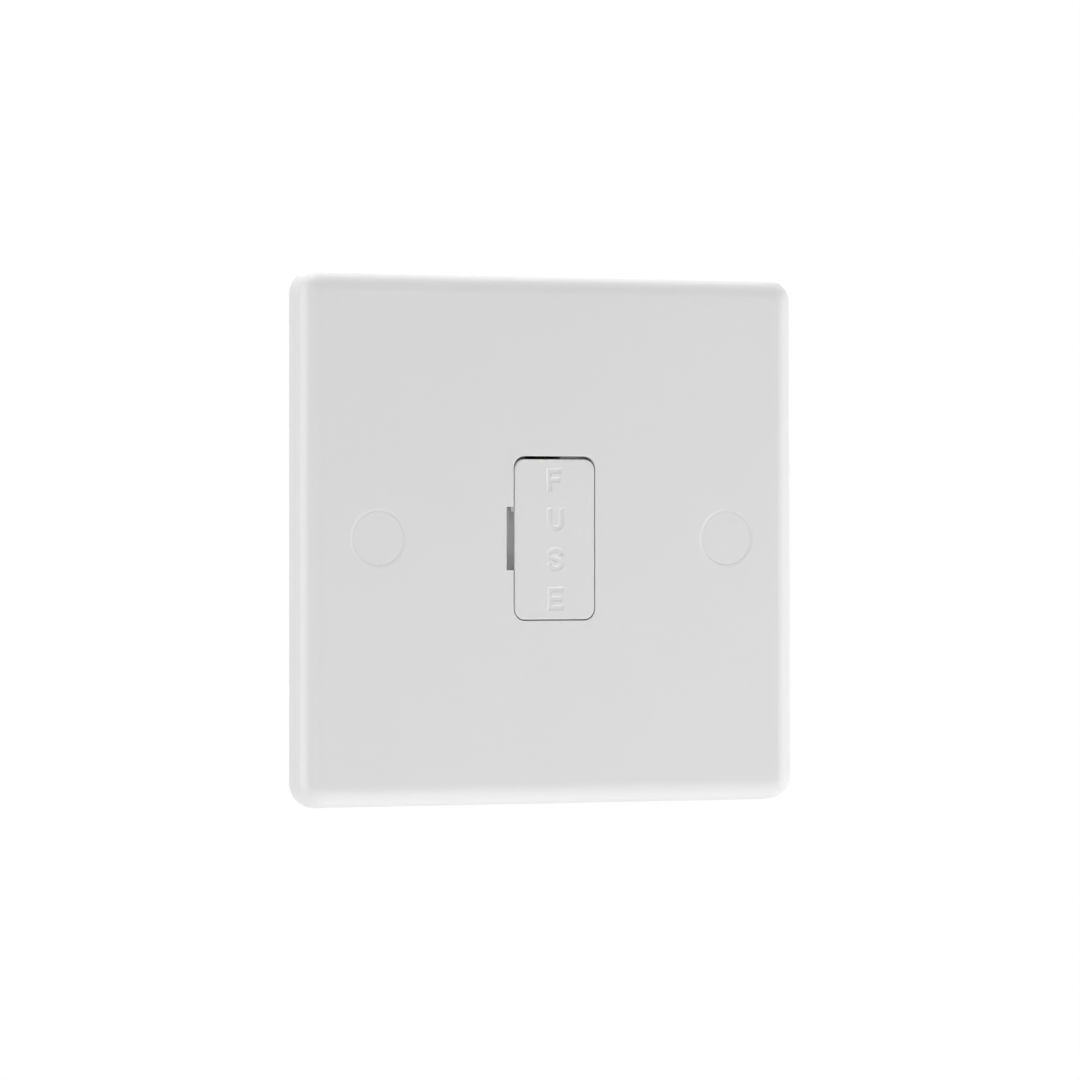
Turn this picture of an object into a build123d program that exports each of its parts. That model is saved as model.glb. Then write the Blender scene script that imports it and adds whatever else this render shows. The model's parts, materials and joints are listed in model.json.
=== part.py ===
"""Unswitched fused spur unit: a square wall plate with a pull-out fuse carrier and a terminal housing behind it.

Millimetres. The origin is the middle of the wall plane, midway between the two fixing holes.
+X is to the right seen from the front, +Z is up, and the front of the plate faces -Y.
"""

import os

from build123d import *

# Front plate
plate_size = 86.0
plate_depth = 6.2
plate_corner_r = 4.2
side_draft = 5.0
front_edge_r = 3.4
face_wall = 2.4
rim_wall = 2.4
rim_round = 0.15
rib_thickness = 1.2
rib_height = 2.0
rib_clearance = 0.6

# Fixing holes and the covers over them
fixing_centres = 60.3
fixing_hole_r = 2.0
head_recess_r = 3.7
head_recess_depth = 1.5
head_cone_angle = 90.0
boss_wall = 1.3
cover_r = 4.3
cover_gap = 0.03
cover_inset = 0.07
seat_depth = 1.2
seat_dish = 0.5
skirt_wall = 0.7
skirt_length = 0.9
skirt_gap = 0.1

# Cartridge fuse
fuse_length = 25.4
fuse_cap_r = 3.175
fuse_cap_length = 6.1
fuse_cap_wall = 0.25
fuse_cap_end = 0.5
fuse_cap_gap = 0.02
fuse_axis_depth = 7.0

# Fuse clips and link strips, all of one sheet thickness
strip_thickness = 0.6
strip_width = 5.2
strip_lap = 7.6
tail_step = 0.9
tail_run = 1.4
clip_side_gap = 0.1
clip_back_gap = 0.3
clip_end_gap = 0.5
clip_bend_r = 0.5
lip_flare = 0.6
lip_length = 0.8
lip_clearance = 0.3

# Fuse carrier and its aperture
carrier_margin = 0.2
carrier_corner_r = 1.75
carrier_edge_r = 0.2
carrier_drop = 0.16
flange_thickness = 1.9
flange_overhang = 1.095
rail_seat = 0.82
rail_wall = 1.2
rail_end_gap = 0.5
cradle_gap = 0.05
cradle_wrap = 1.4
cradle_side_gap = 0.3
cradle_end_gap = 0.4
aperture_side_gap = 0.16
aperture_end_gap = 0.32
aperture_corner_r = 1.9
notch_width = 1.225
notch_height = 10.15
notch_backing = 1.22
pry_lip = 0.55
pry_top = 4.4
pry_bottom = 5.0
ledge_depth = 5.0

# Terminals and their screws
block_width = 8.0
block_depth = 9.0
block_length = 9.0
block_corner_r = 0.5
wire_r = 2.3
wire_floor = 1.2
screw_r = 1.95
screw_gap = 0.1
screw_travel = 3.2
screw_stop_gap = 0.2
screw_tip_gap = 0.2
screw_head_r = 2.8
screw_head_height = 1.5
screw_slot_width = 0.9
screw_slot_depth = 0.8
screw_chamfer = 0.3

# Rear housing
housing_corner_r = 1.6
housing_edge_r = 0.8
valley_r = 1.0
pocket_gap = 0.15
pocket_wall = 1.5
pocket_lip = 0.8
lip_wall = 1.4
core_width = 2.7
well_gap = 0.5
well_wall = 2.4
well_lap = 0.3
well_end_wall = 1.0
row_wall = 1.6
outer_wall = 1.8
deck_wall = 2.0
floor_wall = 2.0
tower_wall = 1.5
tower_gap = 0.3
tower_rise = 0.25
tower_draft = 2.0
tower_chamfer = 0.4
strip_slot_gap = 0.2
collar_relief = 0.3
tongue_gap = 0.2
tongue_lap = 4.0
ear_r = 3.2
ear_reach = 3.9
ear_thickness = 2.0
ear_boss_height = 1.8
ear_boss_r = 2.9

# Screws that hold the housing on the plate
housing_screw_r = 1.4
housing_screw_gap = 0.05
housing_screw_bite = 2.6
housing_head_r = 2.6
housing_head_height = 1.6
housing_head_chamfer = 0.5

# Depths, from the face of the plate at the front to the rear of the housing
face_y = -plate_depth
face_back_y = face_y + face_wall
flange_back_y = face_y + flange_thickness
ledge_y = face_y + ledge_depth
fuse_y = face_y + fuse_axis_depth
strip_y = fuse_y + fuse_cap_r + clip_back_gap
tail_y = strip_y + tail_step
block_front_y = tail_y + strip_thickness
block_rear_y = block_front_y + block_depth
wire_y = block_front_y + wire_floor + wire_r
screw_tip_y = wire_y + wire_r + screw_tip_gap
screw_head_y = block_rear_y + screw_travel + screw_stop_gap
screw_top_y = screw_head_y + screw_head_height
deck_rear_y = block_front_y + deck_wall
row_rear_y = block_rear_y + floor_wall
tower_rear_y = screw_top_y + tower_rise

# Widths, from the middle of the fuse outwards
fuse_tube_r = fuse_cap_r - fuse_cap_wall - fuse_cap_gap
arm_x = fuse_cap_r + clip_side_gap + strip_thickness / 2
lip_x = arm_x + lip_flare
well_half = lip_x + strip_thickness / 2 + well_gap
rail_half = well_half + rail_seat
carrier_width = 2 * (rail_half + flange_overhang)
slot_half = fuse_cap_r + clip_side_gap
pocket_half = block_width / 2 + pocket_gap
mouth_width = block_width - 2 * pocket_lip
column_x = 2 * pocket_half + 2 * pocket_wall + core_width
housing_half_width = column_x + pocket_half + outer_wall
ear_x = column_x / 2

# Heights, from the middle of the plate upwards
carrier_height = fuse_length + 2 * carrier_margin
well_end_z = fuse_length / 2 - well_lap
row_inner_z = well_end_z + well_end_wall + row_wall
block_inner_z = row_inner_z + pocket_gap
block_outer_z = block_inner_z + block_length
block_middle_z = (block_inner_z + block_outer_z) / 2
pocket_outer_z = block_outer_z + pocket_gap
housing_half_height = pocket_outer_z + lip_wall
clip_inner_z = fuse_length / 2 - fuse_cap_length + carrier_drop + clip_end_gap
clip_outer_z = well_end_z - clip_end_gap
strip_outer_z = block_inner_z + strip_lap
ear_z = housing_half_height + ear_reach

# The aperture and the collar behind it
aperture_width = carrier_width + 2 * aperture_side_gap
aperture_height = carrier_height + 2 * aperture_end_gap
collar_wall = notch_width + notch_backing
collar_width = aperture_width + 2 * collar_wall
collar_height = aperture_height + 2 * collar_wall

# Fixing hole steps, from the face inwards
cover_recess_r = cover_r + cover_gap
boss_r = cover_recess_r + boss_wall
inner_half = plate_size / 2 - rim_wall

column_places = {"earth": -column_x, "line": 0.0, "neutral": column_x}
row_sides = {"load": 1, "supply": -1}


def wall_plane(y):
    """Plane parallel to the wall at depth y, seen from the front: a positive extrude comes forward."""
    return Plane.XZ.offset(-y)


def column_points():
    """Middle of each of the six terminals, across and up."""
    return [(x, side * block_middle_z) for side in row_sides.values() for x in column_places.values()]


def ear_points():
    """The two housing screws, at opposite corners of the housing."""
    return [(ear_x, ear_z), (-ear_x, -ear_z)]


def finish(piece, name):
    """Label a finished piece and write it to its own file."""
    piece.part.label = name
    export_step(piece.part, f"parts/{name}.step")


os.makedirs("parts", exist_ok=True)

# Front plate: a drafted square with a soft front edge, hollow behind
with BuildPart() as front_plate:
    with BuildSketch(wall_plane(0)):
        RectangleRounded(plate_size, plate_size, plate_corner_r)
    extrude(amount=plate_depth, taper=side_draft)
    fillet(front_plate.faces().sort_by(Axis.Y)[0].edges(), front_edge_r)
    with BuildSketch(wall_plane(0)):
        RectangleRounded(2 * inner_half, 2 * inner_half, plate_corner_r - rim_wall / 2)
    extrude(amount=plate_depth - face_wall, taper=side_draft, mode=Mode.SUBTRACT)
    # Bosses round the fixing holes, flush with the wall plane
    with BuildSketch(wall_plane(0)):
        with GridLocations(fixing_centres, 0, 2, 1):
            Circle(boss_r)
    extrude(amount=plate_depth - face_wall)
    # Collar that guides the fuse carrier
    with BuildSketch(wall_plane(ledge_y)):
        RectangleRounded(collar_width, collar_height, aperture_corner_r + collar_wall / 2)
    extrude(amount=ledge_y - face_back_y)
    # Tongues that hold the terminals down and close the front of each pocket's mouth
    tongue_inner_z = strip_outer_z - tongue_lap
    tongue_height = housing_half_height - tongue_inner_z
    with BuildSketch(wall_plane(tail_y)):
        with GridLocations(column_x, 2 * tongue_inner_z + tongue_height, 3, 2):
            Rectangle(mouth_width - 2 * tongue_gap, tongue_height)
    extrude(amount=tail_y - face_back_y)
    # Bosses that take the housing screws
    with BuildSketch(wall_plane(face_back_y + ear_boss_height)):
        with Locations(*ear_points()):
            Circle(ear_boss_r)
    extrude(amount=ear_boss_height)
    # Stiffening ribs between the housing and the rim
    side_rib = inner_half - housing_half_width - rib_clearance
    end_rib = inner_half - housing_half_height - rib_clearance
    with BuildSketch(wall_plane(face_back_y + rib_height)):
        for side in (1, -1):
            with Locations((side * (inner_half - side_rib / 2), 0)):
                with GridLocations(0, 2 * column_x, 1, 2):
                    Rectangle(side_rib, rib_thickness)
            with Locations((0, side * (inner_half - end_rib / 2))):
                with GridLocations(2 * column_x, 0, 2, 1):
                    Rectangle(rib_thickness, end_rib)
    extrude(amount=rib_height)
    # Aperture for the fuse carrier, with the pry notch at its left
    with BuildSketch(wall_plane(ledge_y)):
        RectangleRounded(aperture_width, aperture_height, aperture_corner_r)
        with Locations((-aperture_width / 2, 0)):
            Rectangle(2 * notch_width, notch_height)
    extrude(amount=ledge_depth, mode=Mode.SUBTRACT)
    # Stepped fixing holes: seat for the cover, room for the screw's head, then the clearance hole
    with Locations(wall_plane(face_y)):
        with GridLocations(fixing_centres, 0, 2, 1):
            CounterBoreHole(head_recess_r, cover_recess_r, seat_depth, seat_depth + head_recess_depth)
    with Locations(wall_plane(face_y + seat_depth + head_recess_depth)):
        with GridLocations(fixing_centres, 0, 2, 1):
            CounterSinkHole(fixing_hole_r, head_recess_r, counter_sink_angle=head_cone_angle)
    # Blind holes for the housing screws
    with BuildSketch(wall_plane(face_back_y + ear_boss_height)):
        with Locations(*ear_points()):
            Circle(housing_screw_r + housing_screw_gap)
    extrude(amount=housing_screw_bite + housing_screw_gap, mode=Mode.SUBTRACT)
    # Slightly rounded rim of the aperture, and a shallow dish round each cover seat
    front_face = front_plate.faces().sort_by(Axis.Y)[0]
    rims = sorted(front_face.inner_wires(), key=lambda wire: abs(wire.center().X))
    fillet(rims[0].edges(), rim_round)
    front_face = front_plate.faces().sort_by(Axis.Y)[0]
    seat_rims = front_face.edges().filter_by(GeomType.CIRCLE).filter_by(lambda edge: edge.is_closed)
    chamfer(seat_rims, length=seat_dish, length2=cover_inset, reference=front_face)
finish(front_plate, "front_plate")

# Screw covers: discs at the foot of their dished seats, with a ring behind that grips the head recess
for name, side in (("screw_cover_left", -1), ("screw_cover_right", 1)):
    with BuildPart() as screw_cover:
        with BuildSketch(wall_plane(face_y + cover_inset)):
            with Locations((side * fixing_centres / 2, 0)):
                Circle(cover_r)
        extrude(amount=cover_inset - seat_depth)
        with BuildSketch(wall_plane(face_y + seat_depth)):
            with Locations((side * fixing_centres / 2, 0)):
                Circle(head_recess_r - skirt_gap)
                Circle(head_recess_r - skirt_gap - skirt_wall, mode=Mode.SUBTRACT)
        extrude(amount=-skirt_length)
    finish(screw_cover, name)

# Fuse carrier: a flange that fills the aperture, two rails behind it and a cradle that grips the fuse
with BuildPart() as fuse_carrier:
    with BuildSketch(wall_plane(face_y)):
        with Locations((0, -carrier_drop)):
            RectangleRounded(carrier_width, carrier_height, carrier_corner_r)
    extrude(amount=-flange_thickness)
    fillet(fuse_carrier.faces().sort_by(Axis.Y)[0].edges(), carrier_edge_r)
    with BuildSketch(wall_plane(flange_back_y)):
        with Locations((0, -carrier_drop)):
            with GridLocations(2 * rail_half - rail_wall, 0, 2, 1):
                Rectangle(rail_wall, carrier_height - 2 * rail_end_gap)
    extrude(amount=flange_back_y - ledge_y)
    cradle_half = well_half - cradle_side_gap
    cradle_height = fuse_length - 2 * fuse_cap_length - 2 * cradle_end_gap
    with BuildSketch(wall_plane(flange_back_y)):
        with Locations((0, -carrier_drop)):
            Rectangle(2 * cradle_half, cradle_height)
    extrude(amount=flange_back_y - fuse_y - cradle_wrap)
    with BuildSketch(Plane.XY.offset(-fuse_length / 2)):
        with Locations((0, fuse_y)):
            Circle(fuse_tube_r + cradle_gap)
    extrude(amount=fuse_length, mode=Mode.SUBTRACT)
    # Undercut at the left, where a screwdriver blade prises the carrier out
    with BuildSketch(wall_plane(face_y + pry_lip)):
        with Locations((-rail_half, (pry_top - pry_bottom) / 2)):
            Rectangle(2 * flange_overhang, pry_top + pry_bottom, align=(Align.MAX, Align.CENTER))
    extrude(amount=pry_lip - flange_thickness, mode=Mode.SUBTRACT)
finish(fuse_carrier, "fuse_carrier")

# Cartridge fuse: a ceramic tube with a metal cup pressed on each end
with BuildPart() as fuse_tube:
    with BuildSketch(Plane.XY.offset(-carrier_drop)):
        with Locations((0, fuse_y)):
            Circle(fuse_tube_r)
    extrude(amount=fuse_length / 2 - fuse_cap_end, both=True)
finish(fuse_tube, "fuse_tube")

for name, side in (("upper_fuse_cap", 1), ("lower_fuse_cap", -1)):
    with BuildPart() as fuse_cap:
        with BuildSketch(Plane.XY.offset(side * fuse_length / 2 - carrier_drop)):
            with Locations((0, fuse_y)):
                Circle(fuse_cap_r)
        extrude(amount=-side * fuse_cap_length)
        fillet(fuse_cap.faces().sort_by(Axis.Z)[0 if side < 0 else -1].edges(), fuse_cap_wall)
        with BuildSketch(Plane.XY.offset(side * (fuse_length / 2 - fuse_cap_end) - carrier_drop)):
            with Locations((0, fuse_y)):
                Circle(fuse_tube_r + fuse_cap_gap)
        extrude(amount=-side * fuse_cap_length, mode=Mode.SUBTRACT)
    finish(fuse_cap, name)

# Fuse clips: a bent strip whose arms hold a fuse cap, with a tail that steps back to the line terminal
lip_y = ledge_y + lip_clearance
for row, side in row_sides.items():
    with BuildPart() as fuse_clip:
        with BuildSketch(Plane.XY.offset(side * clip_inner_z)):
            with BuildLine():
                FilletPolyline(
                    (-lip_x, lip_y),
                    (-arm_x, lip_y + lip_length),
                    (-arm_x, strip_y + strip_thickness / 2),
                    (arm_x, strip_y + strip_thickness / 2),
                    (arm_x, lip_y + lip_length),
                    (lip_x, lip_y),
                    radius=clip_bend_r,
                )
            trace(line_width=strip_thickness)
        extrude(amount=side * (clip_outer_z - clip_inner_z))
        with BuildSketch(Plane.YZ):
            with BuildLine():
                FilletPolyline(
                    (strip_y + strip_thickness / 2, side * clip_inner_z),
                    (strip_y + strip_thickness / 2, side * well_end_z),
                    (tail_y + strip_thickness / 2, side * (well_end_z + tail_run)),
                    (tail_y + strip_thickness / 2, side * strip_outer_z),
                    radius=clip_bend_r,
                )
            trace(line_width=strip_thickness)
        extrude(amount=strip_width / 2, both=True)
    finish(fuse_clip, f"{row}_fuse_clip")

# Links: flat strips that join the load and supply terminals of the neutral and of the earth
for name in ("neutral", "earth"):
    with BuildPart() as link:
        with BuildSketch(wall_plane(tail_y)):
            with Locations((column_places[name], 0)):
                RectangleRounded(strip_width, 2 * strip_outer_z, strip_width / 5)
        extrude(amount=-strip_thickness)
    finish(link, f"{name}_link")

# Terminals and their screws, a row at the top for the load and a row at the bottom for the supply
for row, side in row_sides.items():
    for name, x in column_places.items():
        with BuildPart() as terminal:
            with BuildSketch(Plane.XY.offset(side * block_middle_z)):
                with Locations((x, (block_front_y + block_rear_y) / 2)):
                    RectangleRounded(block_width, block_depth, block_corner_r)
                with Locations((x, wire_y)):
                    Circle(wire_r, mode=Mode.SUBTRACT)
            extrude(amount=block_length / 2, both=True)
            with BuildSketch(wall_plane(block_rear_y)):
                with Locations((x, side * block_middle_z)):
                    Circle(screw_r + screw_gap)
            extrude(amount=block_rear_y - wire_y, mode=Mode.SUBTRACT)
        finish(terminal, f"{row}_{name}_terminal")

        with BuildPart() as terminal_screw:
            with BuildSketch(wall_plane(screw_tip_y)):
                with Locations((x, side * block_middle_z)):
                    Circle(screw_r)
            extrude(amount=screw_tip_y - screw_head_y)
            chamfer(terminal_screw.faces().sort_by(Axis.Y)[0].edges(), screw_chamfer)
            with BuildSketch(wall_plane(screw_head_y)):
                with Locations((x, side * block_middle_z)):
                    Circle(screw_head_r)
            extrude(amount=-screw_head_height)
            chamfer(terminal_screw.faces().sort_by(Axis.Y)[-1].edges(), screw_chamfer)
            with BuildSketch(wall_plane(screw_top_y)):
                with Locations((x, side * block_middle_z)):
                    Rectangle(3 * screw_head_r, screw_slot_width)
            extrude(amount=screw_slot_depth, mode=Mode.SUBTRACT)
        finish(terminal_screw, f"{row}_{name}_screw")

# Rear housing: a shallow middle round the fuse well and a deep row of terminal pockets at each end
with BuildPart() as rear_housing:
    row_inner_face_z = row_inner_z - row_wall
    with BuildSketch(wall_plane(deck_rear_y)):
        Rectangle(2 * housing_half_width, 2 * row_inner_z)
    extrude(amount=deck_rear_y - face_back_y)
    with BuildSketch(wall_plane(row_rear_y)):
        for side in row_sides.values():
            with Locations((0, side * (row_inner_face_z + housing_half_height) / 2)):
                Rectangle(2 * housing_half_width, housing_half_height - row_inner_face_z)
    extrude(amount=row_rear_y - face_back_y)
    # A radius where each row rises from the middle, then rounded corners and rear edges
    valleys = rear_housing.edges().filter_by(Axis.X).group_by(Axis.Y)[1]
    fillet(valleys, valley_r)
    uprights = rear_housing.edges().filter_by(Axis.Y)
    outermost = uprights.sort_by(lambda edge: abs(edge.center().X) + abs(edge.center().Z))[-4:]
    fillet(outermost, housing_corner_r)
    fillet(rear_housing.faces().sort_by(Axis.Y)[-2:].edges(), housing_edge_r)
    # The open middle, then the walls of the fuse well put back in it
    with BuildSketch(wall_plane(block_front_y)):
        Rectangle(2 * (housing_half_width - outer_wall), 2 * row_inner_face_z)
    extrude(amount=block_front_y - face_back_y, mode=Mode.SUBTRACT)
    with BuildSketch(wall_plane(block_front_y)):
        Rectangle(2 * (well_half + well_wall), 2 * row_inner_face_z)
        Rectangle(2 * well_half, 2 * well_end_z, mode=Mode.SUBTRACT)
    extrude(amount=block_front_y - ledge_y)
    # Terminal pockets, each with a narrower mouth at the outer end for the wire
    with BuildSketch(wall_plane(block_rear_y)):
        with Locations(*column_points()):
            Rectangle(2 * pocket_half, block_length + 2 * pocket_gap)
        for side in row_sides.values():
            for x in column_places.values():
                with Locations((x, side * (pocket_outer_z + lip_wall / 2))):
                    Rectangle(mouth_width, 2 * lip_wall)
    extrude(amount=block_rear_y - face_back_y, mode=Mode.SUBTRACT)
    # Cores between the pockets, so that the walls stay even
    with BuildSketch(wall_plane(block_rear_y)):
        with GridLocations(2 * ear_x, 2 * block_middle_z, 2, 2):
            Rectangle(core_width, block_length + 2 * pocket_gap)
    extrude(amount=block_rear_y - face_back_y, mode=Mode.SUBTRACT)
    # Slots that let the strips through to the terminals, and the fuse's ends into the line slot
    with BuildSketch(wall_plane(block_front_y)):
        Rectangle(2 * slot_half, 2 * block_inner_z)
        for name in ("neutral", "earth"):
            with Locations((column_places[name], 0)):
                Rectangle(strip_width + 2 * strip_slot_gap, 2 * block_inner_z)
    extrude(amount=block_front_y - face_back_y, mode=Mode.SUBTRACT)
    # Raised floor of the well, which carries the backs of the clips
    with BuildSketch(wall_plane(block_front_y)):
        Rectangle(2 * well_half, 2 * clip_outer_z)
    extrude(amount=tail_step)
    # Room for the collar of the plate
    with BuildSketch(wall_plane(ledge_y)):
        Rectangle(collar_width + 2 * collar_relief, collar_height + 2 * collar_relief)
    extrude(amount=ledge_y - face_back_y, mode=Mode.SUBTRACT)
    # Ears for the housing screws
    with BuildSketch(wall_plane(face_back_y + ear_boss_height)):
        for x, z in ear_points():
            with Locations((x, z)):
                Circle(ear_r)
            with Locations((x, z - z / abs(z) * ear_reach / 2)):
                Rectangle(2 * ear_r, ear_reach)
    extrude(amount=-ear_thickness)
    with BuildSketch(wall_plane(face_back_y + ear_boss_height + ear_thickness)):
        with Locations(*ear_points()):
            Circle(housing_screw_r + 2 * housing_screw_gap)
    extrude(amount=ear_thickness, mode=Mode.SUBTRACT)
    # Round towers that shroud the terminal screws, with the holes that the screws travel in
    with BuildSketch(wall_plane(row_rear_y)):
        with Locations(*column_points()):
            Circle(screw_head_r + tower_gap + tower_wall)
    extrude(amount=row_rear_y - tower_rear_y, taper=tower_draft)
    chamfer(rear_housing.faces().sort_by(Axis.Y)[-6:].edges(), tower_chamfer)
    with BuildSketch(wall_plane(tower_rear_y)):
        with Locations(*column_points()):
            Circle(screw_head_r + tower_gap)
    extrude(amount=tower_rear_y - block_rear_y, mode=Mode.SUBTRACT)
finish(rear_housing, "rear_housing")

# Housing screws: pan heads on the ears, shanks in the bosses of the plate
with BuildPart() as housing_screws:
    ear_rear_y = face_back_y + ear_boss_height + ear_thickness
    with BuildSketch(wall_plane(ear_rear_y)):
        with Locations(*ear_points()):
            Circle(housing_screw_r)
    extrude(amount=ear_thickness + housing_screw_bite)
    with BuildSketch(wall_plane(ear_rear_y)):
        with Locations(*ear_points()):
            Circle(housing_head_r)
    extrude(amount=-housing_head_height)
    chamfer(housing_screws.faces().sort_by(Axis.Y)[-2:].edges(), housing_head_chamfer)
    with BuildSketch(wall_plane(ear_rear_y + housing_head_height)):
        with Locations(*ear_points()):
            Rectangle(3 * housing_head_r, screw_slot_width)
    extrude(amount=screw_slot_depth, mode=Mode.SUBTRACT)
finish(housing_screws, "housing_screws")
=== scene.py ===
"""Looks of the fused spur unit, put round the solids of its CAD model.

Finishes, the engraved word, small steps in the carrier's aperture, screw threads, terminal marks,
studio and camera. In metres: +X is to the right seen from the front, +Y into the wall and +Z up.
"""

import json
import math

import bmesh
import bpy
from mathutils import Matrix, Vector


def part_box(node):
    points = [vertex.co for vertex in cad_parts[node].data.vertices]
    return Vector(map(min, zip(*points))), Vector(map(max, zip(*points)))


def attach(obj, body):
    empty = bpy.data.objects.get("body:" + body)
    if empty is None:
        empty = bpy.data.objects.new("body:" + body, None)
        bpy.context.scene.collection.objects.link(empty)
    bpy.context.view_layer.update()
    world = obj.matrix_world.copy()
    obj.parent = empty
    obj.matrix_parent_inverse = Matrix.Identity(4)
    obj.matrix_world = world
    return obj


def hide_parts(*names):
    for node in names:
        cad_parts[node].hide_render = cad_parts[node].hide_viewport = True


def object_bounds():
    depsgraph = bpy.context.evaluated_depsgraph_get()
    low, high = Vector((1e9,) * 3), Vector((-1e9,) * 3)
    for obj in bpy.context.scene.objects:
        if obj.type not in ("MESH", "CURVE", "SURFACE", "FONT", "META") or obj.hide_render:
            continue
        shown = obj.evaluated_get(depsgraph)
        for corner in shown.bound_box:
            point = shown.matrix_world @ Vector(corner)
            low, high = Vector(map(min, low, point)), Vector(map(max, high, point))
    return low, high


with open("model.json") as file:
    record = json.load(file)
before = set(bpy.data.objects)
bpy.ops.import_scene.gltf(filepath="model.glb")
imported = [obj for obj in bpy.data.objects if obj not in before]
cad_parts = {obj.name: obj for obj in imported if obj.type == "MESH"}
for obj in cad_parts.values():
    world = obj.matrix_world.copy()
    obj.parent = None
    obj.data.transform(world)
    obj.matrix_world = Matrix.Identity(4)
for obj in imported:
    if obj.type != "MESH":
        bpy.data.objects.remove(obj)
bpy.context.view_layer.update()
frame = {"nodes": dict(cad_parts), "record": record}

nodes = frame["nodes"]
bodies = frame["record"]["behaviour"]["bodies"]
body_of_node = {node: body for body, members in bodies.items() for node in members}
slot_of_node = {row["node"]: row["material_slot"] for row in frame["record"]["subparts"]}

MM = 0.001
RIGHT = Vector((1, 0, 0))
INWARDS = Vector((0, 1, 0))
UP = Vector((0, 0, 1))

# Camera, level with the plate and to its left, as in the photograph
IMAGE_SIZE = 1080
SENSOR_MM = 36.0
FOCAL_PX = 5186.0
AZIMUTH_DEG = -21.8
DISTANCE = 0.835
PLATE_MIDDLE_PX = (554.7, 538.4)

# Plastics: darker and lighter colour, range of roughness, strength of the bumps
PLASTICS = {
    "white_plastic": ((0.797, 0.797, 0.798), (0.803, 0.803, 0.803), (0.28, 0.34), 0.03),
    "housing_plastic": ((0.7, 0.7, 0.68), (0.76, 0.76, 0.745), (0.42, 0.55), 0.18),
}
PLASTIC_IOR = 1.52
FLOW_MARK_SIZE = 30 * MM
GLOSS_PATCH_SIZE = 6 * MM
PEEL_SIZE = 4 * MM
PEEL_DEPTH = 0.03 * MM
GRAIN_SIZE = 0.12 * MM
GRAIN_DEPTH = 0.002 * MM

# Metals: darker and lighter colour, range of roughness, and the factors that draw their streaks out
ALONG_Z = (1, 1, 0.04)
ALONG_Y = (1, 0.3, 1)
METALS = {
    "terminal_brass": ((0.52, 0.36, 0.14), (0.68, 0.5, 0.23), (0.24, 0.4), ALONG_Z),
    "strip_brass": ((0.58, 0.42, 0.18), (0.72, 0.55, 0.27), (0.2, 0.34), ALONG_Z),
    "plated_steel": ((0.4, 0.405, 0.4), (0.5, 0.5, 0.49), (0.24, 0.38), ALONG_Y),
    "plated_cap": ((0.68, 0.66, 0.61), (0.76, 0.74, 0.7), (0.12, 0.22), ALONG_Z),
}
TARNISH_SIZE = 4 * MM
STREAK_SIZE = 0.2 * MM
STREAK_DEPTH = 0.008 * MM
STREAK_STRENGTH = 0.25

# Ceramic of the fuse's tube: darker and lighter colour, range of roughness
CERAMICS = {"ceramic": ((0.7, 0.67, 0.6), (0.84, 0.82, 0.77), (0.45, 0.6))}
SPECK_SIZE = 0.5 * MM
SPECK_DEPTH = 0.01 * MM
SPECK_STRENGTH = 0.2
SPECK_RANGE = (0.3, 0.45)
DRY_PATCH_SIZE = 2 * MM

# Stretch of a noise's values over which a colour or a roughness changes
COLOUR_RANGE = (0.35, 0.65)
ROUGHNESS_RANGE = (0.3, 0.7)

# The word on the carrier: capitals one under the other, each with its left edge and width
LETTERS = [
    ("F", -1.27 * MM, 2.38 * MM),
    ("U", -1.17 * MM, 2.73 * MM),
    ("S", -1.21 * MM, 2.72 * MM),
    ("E", -1.1 * MM, 2.64 * MM),
]
WORD_TOP = 11.22 * MM
LETTER_PITCH = 6.38 * MM
LETTER_HEIGHT = 3.6 * MM
LETTER_STROKE = 0.73 * MM
MIDDLE_BAR_SHORTER = 0.22 * MM
S_OVERSHOOT = 0.06 * MM
S_BOWLS_APART = 1.15
S_END_DEG = 10.0
ARC_STEPS = 24
GROOVE_DEPTH = 0.16 * MM
GROOVE_WALL = 0.26 * MM
GROOVE_CELL = 0.05 * MM
GROOVE_MARGIN = 0.3 * MM

# Steps moulded in the aperture: the pry notch's floor, a nib at its upper end, a rib above the carrier
STEP_DEPTH = 2.5 * MM
STEP_LENGTH = 2.85 * MM
STEP_ROUND = 0.2 * MM
STEP_CLEARANCE = 0.1 * MM
STEP_IN_PLATE = 0.02 * MM
NIB_GAP = 0.05 * MM
NIB_WIDTH = 0.22 * MM
NIB_HEIGHT = 0.9 * MM
NIB_DEPTH = 0.2 * MM
NIB_SLOPE = 0.7 * MM
NIB_WALL = 0.1 * MM
RIB_LEFT = 1.95 * MM
RIB_RIGHT = 6.4 * MM
RIB_OVERLAP = 0.06 * MM

# Terminal screws
SHANK_R = 1.95 * MM
SHANK_IN_HEAD = 0.3 * MM
HEAD_HEIGHT = 1.5 * MM
TIP_CHAMFER = 0.3 * MM
THREAD_PITCH = 0.7 * MM
THREAD_DEPTH = 0.36 * MM
THREAD_FLAT_SHARE = 0.1
RINGS_PER_TURN = 10
POINTS_PER_RING = 40

# Raised marks on the rear of the housing: a letter for each terminal, and each row's name
MARKS = {"earth": "E", "line": "L", "neutral": "N"}
ROW_SIDES = {"load": 1, "supply": -1}
MARK_HEIGHT = 2.6 * MM
MARK_Z = 10.2 * MM
ROW_WORD_HEIGHT = 2.5 * MM
ROW_WORD_Z = 5.6 * MM
MARK_RAISE = 0.3 * MM
MARK_SPREAD = 0.015
MARK_BEVEL_STEPS = 2
MARK_CURVE_STEPS = 10

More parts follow.
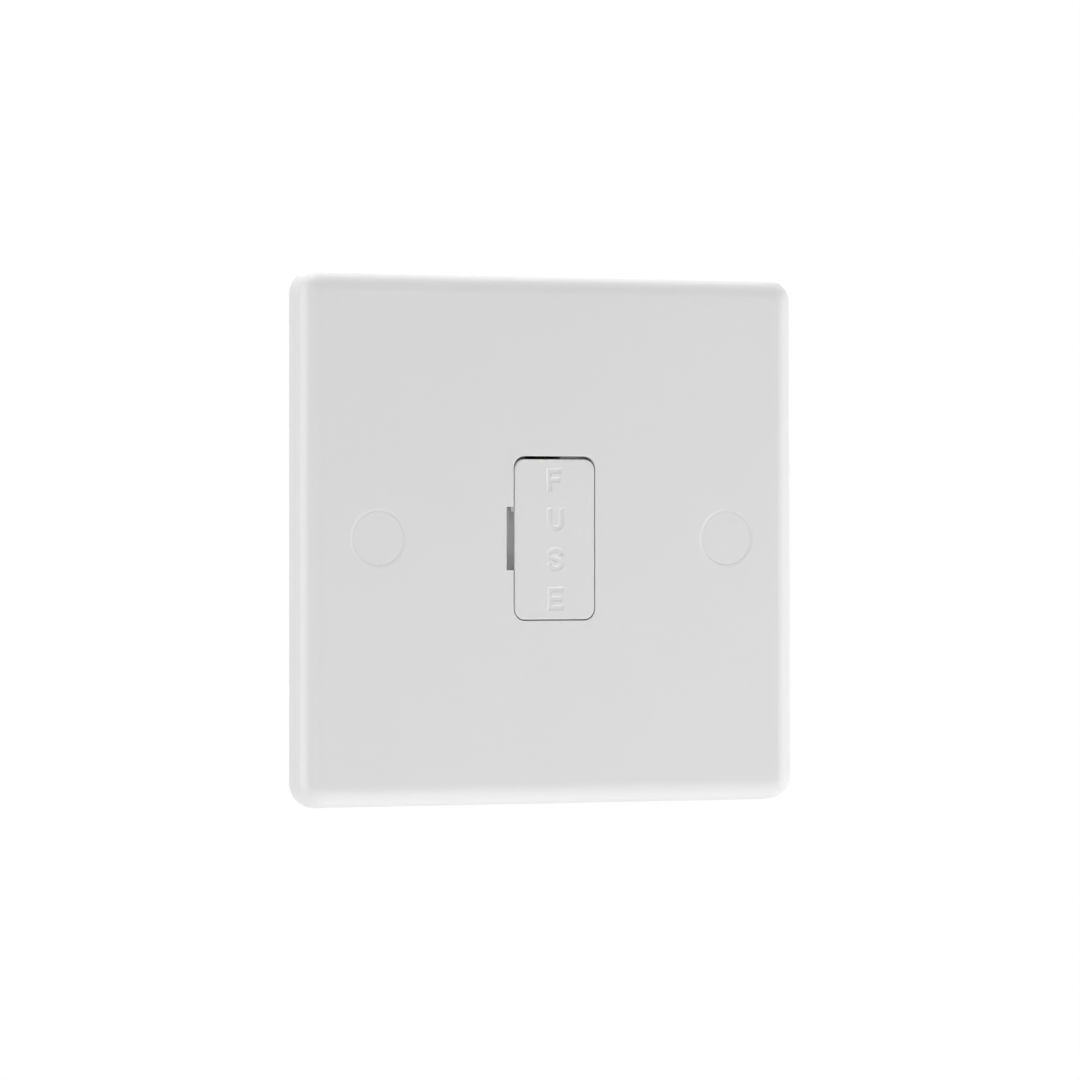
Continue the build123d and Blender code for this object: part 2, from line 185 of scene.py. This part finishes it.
# Studio: lamps with their place, size and power, a white surround and a pale floor well below
LAMPS = [
    ("top_lamp", (0.0, -0.15, 0.9), (1.2, 0.9), 2.0),
    ("top_back_lamp", (0.0, 0.2, 0.85), (1.2, 0.8), 6.2),
    ("left_lamp", (-0.9, 0.05, 0.05), (0.8, 1.0), 4.5),
    ("right_lamp", (0.9, -0.55, -0.2), (1.0, 0.9), 6.6),
    ("right_side_lamp", (0.9, 0.1, 0.0), (0.8, 1.0), 1.4),
    ("low_lamp", (0.1, -0.05, -0.75), (1.2, 0.8), 1.0),
    ("low_near_lamp", (-0.1, -0.3, -0.4), (0.6, 0.4), 0.65),
    ("front_lamp", (-0.45, -1.1, 0.05), (1.0, 1.0), 2.8),
    ("back_lamp", (0.4, 0.9, 0.45), (0.9, 0.9), 6.0),
]
WORLD_LIGHT = 0.15
WORLD_SHOWN = 1.0
WHITE = (1, 1, 1, 1)
FLOOR_Z = -0.95
FLOOR_R = 3.0
FLOOR_SEGMENTS = 96
FLOOR_COLOUR = (0.86, 0.86, 0.86, 1)
FLOOR_ROUGHNESS = 0.9
FLOOR_FADE_R = 1.2
FLOOR_LIFT = 0.35

# Meshes: smallest angle of a sharp edge, and limits for what counts as flat or as one corner
SHARP_ANGLE = math.radians(32)
FLAT_WITHIN = 0.001 * MM
WELD_WITHIN = 0.0001 * MM


def new_material(name):
    """A new node material, with its tree and its shader."""
    material = bpy.data.materials.new(name)
    material.use_nodes = True
    tree = material.node_tree
    return material, tree, tree.nodes["Principled BSDF"]


def place_coordinates(tree, factors=(1, 1, 1)):
    """Object coordinates in metres times a factor for each axis."""
    coordinates = tree.nodes.new("ShaderNodeTexCoord")
    mapping = tree.nodes.new("ShaderNodeMapping")
    mapping.inputs["Scale"].default_value = factors
    tree.links.new(coordinates.outputs["Object"], mapping.inputs["Vector"])
    return mapping.outputs["Vector"]


def noise(tree, size, detail=2, factors=(1, 1, 1)):
    """Noise with features of about the given size, drawn out along an axis with a factor below 1."""
    texture = tree.nodes.new("ShaderNodeTexNoise")
    texture.inputs["Scale"].default_value = 1 / size
    texture.inputs["Detail"].default_value = detail
    tree.links.new(place_coordinates(tree, factors), texture.inputs["Vector"])
    return texture.outputs["Fac"]


def ramp(tree, value, dark, light, between=COLOUR_RANGE):
    """Colour that goes from dark to light as the value rises."""
    node = tree.nodes.new("ShaderNodeValToRGB")
    for element, position, colour in zip(node.color_ramp.elements, between, (dark, light)):
        element.position = position
        element.color = (*colour, 1)
    tree.links.new(value, node.inputs["Fac"])
    return node.outputs["Color"]


def spread(tree, value, low, high):
    """Number that goes from low to high as the value rises."""
    node = tree.nodes.new("ShaderNodeMapRange")
    node.inputs["From Min"].default_value = ROUGHNESS_RANGE[0]
    node.inputs["From Max"].default_value = ROUGHNESS_RANGE[1]
    node.inputs["To Min"].default_value = low
    node.inputs["To Max"].default_value = high
    tree.links.new(value, node.inputs["Value"])
    return node.outputs["Result"]


def bump(tree, shader, layers):
    """Chain of bumps, each a height, a strength and a depth in metres."""
    normal = None
    for height, strength, depth in layers:
        node = tree.nodes.new("ShaderNodeBump")
        node.inputs["Strength"].default_value = strength
        node.inputs["Distance"].default_value = depth
        tree.links.new(height, node.inputs["Height"])
        if normal is not None:
            tree.links.new(normal, node.inputs["Normal"])
        normal = node.outputs["Normal"]
    tree.links.new(normal, shader.inputs["Normal"])


def plastic(name, dark, light, rough, strength):
    """Moulded thermoset: faint flow marks, a soft orange peel and a fine grain."""
    material, tree, shader = new_material(name)
    flow_marks = noise(tree, FLOW_MARK_SIZE, detail=3)
    tree.links.new(ramp(tree, flow_marks, dark, light), shader.inputs["Base Color"])
    gloss_patches = noise(tree, GLOSS_PATCH_SIZE, detail=3)
    tree.links.new(spread(tree, gloss_patches, *rough), shader.inputs["Roughness"])
    shader.inputs["IOR"].default_value = PLASTIC_IOR
    peel = noise(tree, PEEL_SIZE)
    grain = noise(tree, GRAIN_SIZE, detail=1)
    bump(tree, shader, [(peel, strength, PEEL_DEPTH), (grain, strength, GRAIN_DEPTH)])
    return material


def metal(name, dark, light, rough, way):
    """Bare or plated metal with streaks along the way it was drawn, and faint tarnish."""
    material, tree, shader = new_material(name)
    tarnish = noise(tree, TARNISH_SIZE, detail=4)
    tree.links.new(ramp(tree, tarnish, dark, light), shader.inputs["Base Color"])
    streaks = noise(tree, STREAK_SIZE, factors=way)
    tree.links.new(spread(tree, streaks, *rough), shader.inputs["Roughness"])
    shader.inputs["Metallic"].default_value = 1.0
    bump(tree, shader, [(streaks, STREAK_STRENGTH, STREAK_DEPTH)])
    return material


def ceramic(name, dark, light, rough):
    """Fired tube: off-white with small specks and a dry surface."""
    material, tree, shader = new_material(name)
    specks = noise(tree, SPECK_SIZE, detail=4)
    tree.links.new(ramp(tree, specks, dark, light, SPECK_RANGE), shader.inputs["Base Color"])
    dry_patches = noise(tree, DRY_PATCH_SIZE)
    tree.links.new(spread(tree, dry_patches, *rough), shader.inputs["Roughness"])
    bump(tree, shader, [(specks, SPECK_STRENGTH, SPECK_DEPTH)])
    return material


def add_object(name, data):
    """A new object in the scene."""
    holder = bpy.data.objects.new(name, data)
    bpy.context.scene.collection.objects.link(holder)
    return holder


def finish_piece(piece, slot):
    """Give a piece the finish of one of the record's material slots."""
    piece.data.materials.clear()
    piece.data.materials.append(finishes[slot])


def add_piece(name, mesh, node):
    """A new piece with the finish of a node, which rides with the node's body."""
    piece = add_object(name, mesh)
    finish_piece(piece, slot_of_node[node])
    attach(piece, body_of_node[node])
    return piece


def even_normals(piece):
    """Shading of flat faces that doesn't bend towards the rounded edges beside them."""
    modifier = piece.modifiers.new("even_normals", "WEIGHTED_NORMAL")
    modifier.keep_sharp = True


def welded(mesh):
    """Copy of a mesh with its corners joined, as a bmesh."""
    solid = bmesh.new()
    solid.from_mesh(mesh)
    bmesh.ops.remove_doubles(solid, verts=solid.verts, dist=WELD_WITHIN)
    return solid


def cut_front(solid, y):
    """Delete the faces of a bmesh that lie in a plane across Y or in front of it."""
    front = [face for face in solid.faces if all(v.co.y < y + FLAT_WITHIN for v in face.verts)]
    bmesh.ops.delete(solid, geom=front, context="FACES")


def open_edges(solid):
    """Edges round the openings of a bmesh."""
    return [edge for edge in solid.edges if edge.is_boundary]


def mesh_of(name, solid):
    """Mesh of a bmesh, which is freed."""
    mesh = bpy.data.meshes.new(name)
    solid.to_mesh(mesh)
    solid.free()
    return mesh


def smooth_mesh(name, solid):
    """Mesh of a closed bmesh, with outward normals and smooth shading that stops at sharp edges."""
    bmesh.ops.recalc_face_normals(solid, faces=solid.faces)
    mesh = mesh_of(name, solid)
    mesh.shade_smooth()
    mesh.set_sharp_from_angle(angle=SHARP_ANGLE)
    return mesh


def hit(node, start, way):
    """Where a ray from a start meets the surface of a node."""
    return nodes[node].ray_cast(start, way)[1]


def arc(middle, across, up, start_deg, end_deg):
    """Points along part of an ellipse."""
    points = []
    for step in range(ARC_STEPS + 1):
        turn = math.radians(start_deg + (end_deg - start_deg) * step / ARC_STEPS)
        x = middle[0] + across * math.cos(turn)
        y = middle[1] + up * math.sin(turn)
        points.append(Vector((x, y)))
    return points


def bar(left, right, low, high):
    """Distance from a straight stroke with square ends, below zero inside it."""

    def distance(x, z):
        beside = abs(x - (left + right) / 2) - (right - left) / 2
        above = abs(z - (low + high) / 2) - (high - low) / 2
        return math.hypot(max(beside, 0), max(above, 0)) + min(max(beside, above), 0)

    return distance


def bow(points):
    """Distance from a curved stroke with round ends, below zero inside it."""

    def distance(x, z):
        at = Vector((x, z))
        nearest = math.inf
        for start, end in zip(points, points[1:]):
            along = end - start
            share = min(1.0, max(0.0, (at - start).dot(along) / along.length_squared))
            nearest = min(nearest, (at - start - along * share).length)
        return nearest - LETTER_STROKE / 2

    return distance


def letter_strokes(letter, width):
    """Strokes of a capital, measured from its lower left corner."""
    high, thick, half = LETTER_HEIGHT, LETTER_STROKE, LETTER_STROKE / 2
    bend = width / 2 - half
    if letter == "U":
        turn = bend + half
        sides = [bar(left, left + thick, turn, high) for left in (0, width - thick)]
        return [*sides, bow(arc((width / 2, turn), bend, bend, 180, 360))]
    if letter == "S":
        bowl = (high / 2 + S_OVERSHOOT - half) / (1 + S_BOWLS_APART)
        spine_deg = 180 + math.degrees(math.asin(1 / S_BOWLS_APART))
        upper_middle = (width / 2, high / 2 + S_BOWLS_APART * bowl)
        upper = arc(upper_middle, bend, bowl, S_END_DEG, spine_deg)
        return [bow(upper + [Vector((width, high)) - point for point in reversed(upper)])]
    strokes = [
        bar(0, thick, 0, high),
        bar(0, width, high - thick, high),
        bar(0, width - MIDDLE_BAR_SHORTER, high / 2 - half, high / 2 + half),
    ]
    if letter == "E":
        strokes.append(bar(0, width, 0, thick))
    return strokes


def groove_depth(strokes, x, z):
    """Depth of the engraving at a point: a flat floor with soft walls."""
    inside = -min(stroke(x, z) for stroke in strokes)
    share = min(1.0, max(0.0, 0.5 + inside / GROOVE_WALL))
    return GROOVE_DEPTH * share * share * (3 - 2 * share)


def letter_cell(solid, letter, left, width, base, face_y):
    """Fine grid over one letter, pressed in along its strokes."""
    strokes = letter_strokes(letter, width)
    columns = math.ceil((width + 2 * GROOVE_MARGIN) / GROOVE_CELL)
    rows = math.ceil((LETTER_HEIGHT + 2 * GROOVE_MARGIN) / GROOVE_CELL)
    grid = []
    for row in range(rows + 1):
        z = row * GROOVE_CELL - GROOVE_MARGIN
        line = []
        for column in range(columns + 1):
            x = column * GROOVE_CELL - GROOVE_MARGIN
            y = face_y + groove_depth(strokes, x, z)
            line.append(solid.verts.new((left + x, y, base + z)))
        grid.append(line)
    for lower, upper in zip(grid, grid[1:]):
        for column in range(columns):
            beside = column + 1
            solid.faces.new((lower[column], lower[beside], upper[beside], upper[column]))


def engraved_carrier():
    """The fuse carrier with the word pressed into its front."""
    solid = welded(nodes["fuse_carrier"].data)
    face_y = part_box("fuse_carrier")[0].y
    cut_front(solid, face_y)
    for row, (letter, left, width) in enumerate(LETTERS):
        base = WORD_TOP - row * LETTER_PITCH - LETTER_HEIGHT
        letter_cell(solid, letter, left, width, base, face_y)
    bmesh.ops.triangle_fill(solid, edges=open_edges(solid), use_beauty=True, normal=-INWARDS)
    mesh = smooth_mesh("fuse_carrier_engraved", solid)
    piece = add_piece("fuse_carrier_engraved", mesh, "fuse_carrier")
    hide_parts("fuse_carrier")
    even_normals(piece)


def rounded_step(wall, free, front):
    """Outline of a step, across and inwards, from the wall it grows out of to its rounded free edge."""
    back = front + STEP_LENGTH
    reach = math.copysign(STEP_ROUND, free - wall)
    edge = arc((free - reach, front + STEP_ROUND), reach, -STEP_ROUND, 90, 0)
    return [Vector((wall, back)), Vector((wall, front)), *edge, Vector((free, back))]


def plate_step(name, outline, along):
    """Moulded step of the front plate: an outline of corners drawn out along a vector."""
    solid = bmesh.new()
    start = [solid.verts.new(corner) for corner in outline]
    end = [solid.verts.new(corner + along) for corner in outline]
    for place in range(len(outline)):
        solid.faces.new((start[place - 1], start[place], end[place], end[place - 1]))
    solid.faces.new(start)
    solid.faces.new(end)
    add_piece(name, smooth_mesh(name, solid), "front_plate")


def pry_notch():
    """Left wall, foot and head of the pry notch, each a little way into the plate."""
    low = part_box("fuse_carrier")[0]
    beside = Vector((low.x, low.y + STEP_DEPTH + STEP_LENGTH / 2, 0))
    wall_x = hit("front_plate", beside, -RIGHT).x - STEP_IN_PLATE
    inside = Vector(((wall_x + low.x) / 2, beside.y, 0))
    foot_z = hit("front_plate", inside, -UP).z - STEP_IN_PLATE
    head_z = hit("front_plate", inside, UP).z + STEP_IN_PLATE
    return wall_x, foot_z, head_z


def notch_floor():
    """Floor of the pry notch, with its free edge just clear of the carrier's rail."""
    wall_x, foot_z, head_z = pry_notch()
    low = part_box("fuse_carrier")[0]
    front = low.y + STEP_DEPTH
    beside = Vector((low.x, front + STEP_LENGTH / 2, 0))
    rail_x = hit("fuse_carrier", beside, RIGHT).x - STEP_CLEARANCE
    outline = [Vector((x, y, foot_z)) for x, y in rounded_step(wall_x, rail_x, front)]
    plate_step("notch_floor", outline, UP * (head_z - foot_z))


def notch_corner():
    """Thin nib with a sloped front, beside the carrier at the upper end of the pry notch."""
    head_z = pry_notch()[2]
    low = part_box("fuse_carrier")[0]
    right = low.x - NIB_GAP
    left = right - NIB_WIDTH
    front = low.y + NIB_DEPTH
    slope_end = front + NIB_SLOPE
    back = slope_end + NIB_WALL
    corners = [(right, back), (right, front), (left, slope_end), (left, back)]
    outline = [Vector((x, y, head_z - NIB_HEIGHT)) for x, y in corners]
    plate_step("notch_corner", outline, UP * NIB_HEIGHT)


def carrier_rib():
    """Rib that grows out of the top of the aperture, behind the right part of the carrier's flange."""
    low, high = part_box("fuse_carrier")
    front = low.y + STEP_DEPTH
    above = Vector((RIB_LEFT, front + STEP_LENGTH / 2, high.z))
    roof_z = hit("front_plate", above, UP).z + STEP_IN_PLATE
    foot_z = high.z - RIB_OVERLAP
    outline = [Vector((RIB_LEFT, y, z)) for z, y in rounded_step(roof_z, foot_z, front)]
    plate_step("carrier_rib", outline, RIGHT * (RIB_RIGHT - RIB_LEFT))


def thread_radius(turn, along):
    """Radius of the threaded shank at a share of a turn and a distance from its tip."""
    phase = (along / THREAD_PITCH - turn) % 1.0
    ridge = abs(2 * phase - 1)
    share = (ridge - THREAD_FLAT_SHARE) / (1 - 2 * THREAD_FLAT_SHARE)
    radius = SHANK_R - THREAD_DEPTH * min(1.0, max(0.0, share))
    return min(radius, SHANK_R - TIP_CHAMFER + along)


def add_thread(screw, tip, length):
    """Add a closed threaded shank to a screw, from the middle of its tip towards its head."""
    rings = []
    steps = int(length / THREAD_PITCH * RINGS_PER_TURN)
    for step in range(steps + 1):
        along = length * step / steps
        ring = []
        for place in range(POINTS_PER_RING):
            turn = place / POINTS_PER_RING
            angle = 2 * math.pi * turn
            radius = thread_radius(turn, along)
            x = tip.x + radius * math.cos(angle)
            z = tip.z + radius * math.sin(angle)
            ring.append(screw.verts.new((x, tip.y + along, z)))
        rings.append(ring)
    for lower, upper in zip(rings, rings[1:]):
        for place in range(POINTS_PER_RING):
            beside = (place + 1) % POINTS_PER_RING
            screw.faces.new((lower[place], upper[place], upper[beside], lower[beside]))
    screw.faces.new(rings[0])
    screw.faces.new(rings[-1])


def threaded_screw(node):
    """A terminal screw with the head of its solid and a cut thread on its shank."""
    low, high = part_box(node)
    middle = (low + high) / 2
    head_y = high.y - HEAD_HEIGHT
    screw = welded(nodes[node].data)
    cut_front(screw, head_y)
    bmesh.ops.contextual_create(screw, geom=open_edges(screw))
    add_thread(screw, Vector((middle.x, low.y, middle.z)), head_y - low.y + SHANK_IN_HEAD)
    mesh = smooth_mesh(f"{node}_threaded", screw)
    piece = add_piece(f"{node}_threaded", mesh, node)
    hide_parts(node)
    even_normals(piece)


def raised_text(text, height):
    """Mesh of a letter or word in a plain typeface, in XY with its lower left corner at the origin."""
    curve = bpy.data.curves.new(f"letter_{text}", "FONT")
    curve.body = text
    curve.offset = MARK_SPREAD
    curve.extrude = MARK_RAISE / 2 / height
    curve.bevel_depth = MARK_RAISE / 2 / height
    curve.bevel_resolution = MARK_BEVEL_STEPS
    curve.resolution_u = MARK_CURVE_STEPS
    source = add_object(f"letter_{text}", curve)
    bpy.context.view_layer.update()
    evaluated = source.evaluated_get(bpy.context.evaluated_depsgraph_get())
    mesh = bpy.data.meshes.new_from_object(evaluated)
    bpy.data.objects.remove(source)
    low_x = min(v.co.x for v in mesh.vertices)
    low_y = min(v.co.y for v in mesh.vertices)
    scale = height / (max(v.co.y for v in mesh.vertices) - low_y)
    mesh.transform(Matrix.Translation((-low_x, -low_y, 0)))
    mesh.transform(Matrix.Diagonal((scale, scale, height, 1)))
    return smooth_mesh(f"letter_{text}", welded(mesh))


def raised_mark(name, text, height, x, z, deck_y):
    """A raised letter or word on the rear of the housing, to be read from behind."""
    mesh = raised_text(text, height)
    width = max(v.co.x for v in mesh.vertices)
    to_middle = Matrix.Translation((-width / 2, -height / 2, 0))
    facing_rear = Matrix(((-1, 0, 0, x), (0, 0, 1, deck_y), (0, 1, 0, z), (0, 0, 0, 1)))
    mesh.transform(facing_rear @ to_middle)
    add_piece(name, mesh, "rear_housing")


def terminal_marks():
    """Letter beside each terminal and a word beside each row, on the middle of the housing."""
    behind = Vector((0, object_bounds()[1][1] + MM, 0))
    deck_y = hit("rear_housing", behind, -INWARDS).y
    for row, side in ROW_SIDES.items():
        for name, letter in MARKS.items():
            low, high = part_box(f"{row}_{name}_terminal")
            x = (low.x + high.x) / 2
            raised_mark(f"{row}_{name}_mark", letter, MARK_HEIGHT, x, side * MARK_Z, deck_y)
        word_z = side * ROW_WORD_Z
        raised_mark(f"{row}_word", row.upper(), ROW_WORD_HEIGHT, 0, word_z, deck_y)


def seen_ray(tree):
    """1 where the camera, a reflection or glass looks, and 0 for light that falls on things."""
    path = tree.nodes.new("ShaderNodeLightPath")
    seen = path.outputs["Is Camera Ray"]
    for name in ("Is Glossy Ray", "Is Transmission Ray"):
        either = tree.nodes.new("ShaderNodeMath")
        either.operation = "MAXIMUM"
        tree.links.new(seen, either.inputs[0])
        tree.links.new(path.outputs[name], either.inputs[1])
        seen = either.outputs["Value"]
    return seen


def mixed(tree, share, first, second):
    """Shader that goes from the first to the second as the share goes from 0 to 1."""
    node = tree.nodes.new("ShaderNodeMixShader")
    tree.links.new(share, node.inputs["Fac"])
    tree.links.new(first, node.inputs[1])
    tree.links.new(second, node.inputs[2])
    return node.outputs["Shader"]


def surround():
    """World that looks white and gives little light."""
    world = bpy.data.worlds.new("surround")
    bpy.context.scene.world = world
    world.use_nodes = True
    tree = world.node_tree
    light = tree.nodes["Background"]
    light.inputs["Color"].default_value = WHITE
    light.inputs["Strength"].default_value = WORLD_LIGHT
    shown = tree.nodes.new("ShaderNodeBackground")
    shown.inputs["Color"].default_value = WHITE
    shown.inputs["Strength"].default_value = WORLD_SHOWN
    both = mixed(tree, seen_ray(tree), light.outputs["Background"], shown.outputs["Background"])
    tree.links.new(both, tree.nodes["World Output"].inputs["Surface"])


def point_at(holder, target):
    """Turn a lamp or camera to a target, with its upper side up."""
    holder.rotation_euler = (target - holder.location).to_track_quat("-Z", "Y").to_euler()


def lamps():
    """Soft lamps that point at the origin and are hidden from the camera."""
    for name, place, size, power in LAMPS:
        lamp = bpy.data.lights.new(name, "AREA")
        lamp.shape = "RECTANGLE"
        lamp.size, lamp.size_y = size
        lamp.energy = power
        holder = add_object(name, lamp)
        holder.location = place
        point_at(holder, Vector((0, 0, 0)))
        holder.visible_camera = False


def floor_material():
    """Pale floor that takes a shadow and fades into the white surround."""
    material, tree, shader = new_material("floor")
    shader.inputs["Base Color"].default_value = FLOOR_COLOUR
    shader.inputs["Roughness"].default_value = FLOOR_ROUGHNESS
    lift = tree.nodes.new("ShaderNodeEmission")
    lift.inputs["Strength"].default_value = FLOOR_LIFT
    lifted = tree.nodes.new("ShaderNodeAddShader")
    tree.links.new(shader.outputs["BSDF"], lifted.inputs[0])
    tree.links.new(lift.outputs["Emission"], lifted.inputs[1])
    white = tree.nodes.new("ShaderNodeEmission")
    fade = tree.nodes.new("ShaderNodeTexGradient")
    fade.gradient_type = "SPHERICAL"
    tree.links.new(place_coordinates(tree, (1 / FLOOR_FADE_R,) * 3), fade.inputs["Vector"])
    shown = mixed(tree, fade.outputs["Fac"], white.outputs["Emission"], lifted.outputs["Shader"])
    both = mixed(tree, seen_ray(tree), shader.outputs["BSDF"], shown)
    tree.links.new(both, tree.nodes["Material Output"].inputs["Surface"])
    return material


def add_floor():
    """Pale round floor well below the unit."""
    disc = bmesh.new()
    bmesh.ops.create_circle(disc, cap_ends=True, segments=FLOOR_SEGMENTS, radius=FLOOR_R)
    floor = add_object("floor", mesh_of("floor", disc))
    floor.location.z = FLOOR_Z
    floor.data.materials.append(floor_material())


def camera():
    """The photograph's camera, aimed so that the middle of the plate falls where it does there."""
    azimuth = math.radians(AZIMUTH_DEG)
    back = Vector((math.sin(azimuth), -math.cos(azimuth), 0))
    right = Vector((math.cos(azimuth), math.sin(azimuth), 0))
    middle = Vector((0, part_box("front_plate")[0].y, 0))
    across = (PLATE_MIDDLE_PX[0] - IMAGE_SIZE / 2) / FOCAL_PX * DISTANCE
    up = (IMAGE_SIZE / 2 - PLATE_MIDDLE_PX[1]) / FOCAL_PX * DISTANCE
    data = bpy.data.cameras.new("camera")
    data.sensor_width = SENSOR_MM
    data.lens = FOCAL_PX / IMAGE_SIZE * SENSOR_MM
    holder = add_object("camera", data)
    holder.location = middle + back * DISTANCE
    point_at(holder, middle - right * across - UP * up)
    bpy.context.scene.camera = holder


# The scene: finishes, pieces that are added or stand in for a node, studio and camera
finishes = {}
for make, looks in ((plastic, PLASTICS), (metal, METALS), (ceramic, CERAMICS)):
    for slot, look in looks.items():
        finishes[slot] = make(slot, *look)
for node, piece in nodes.items():
    finish_piece(piece, slot_of_node[node])
notch_floor()
notch_corner()
carrier_rib()
engraved_carrier()
for row in ROW_SIDES:
    for name in MARKS:
        threaded_screw(f"{row}_{name}_screw")
terminal_marks()
surround()
lamps()
add_floor()
camera()
bpy.context.scene.view_settings.view_transform = "Standard"
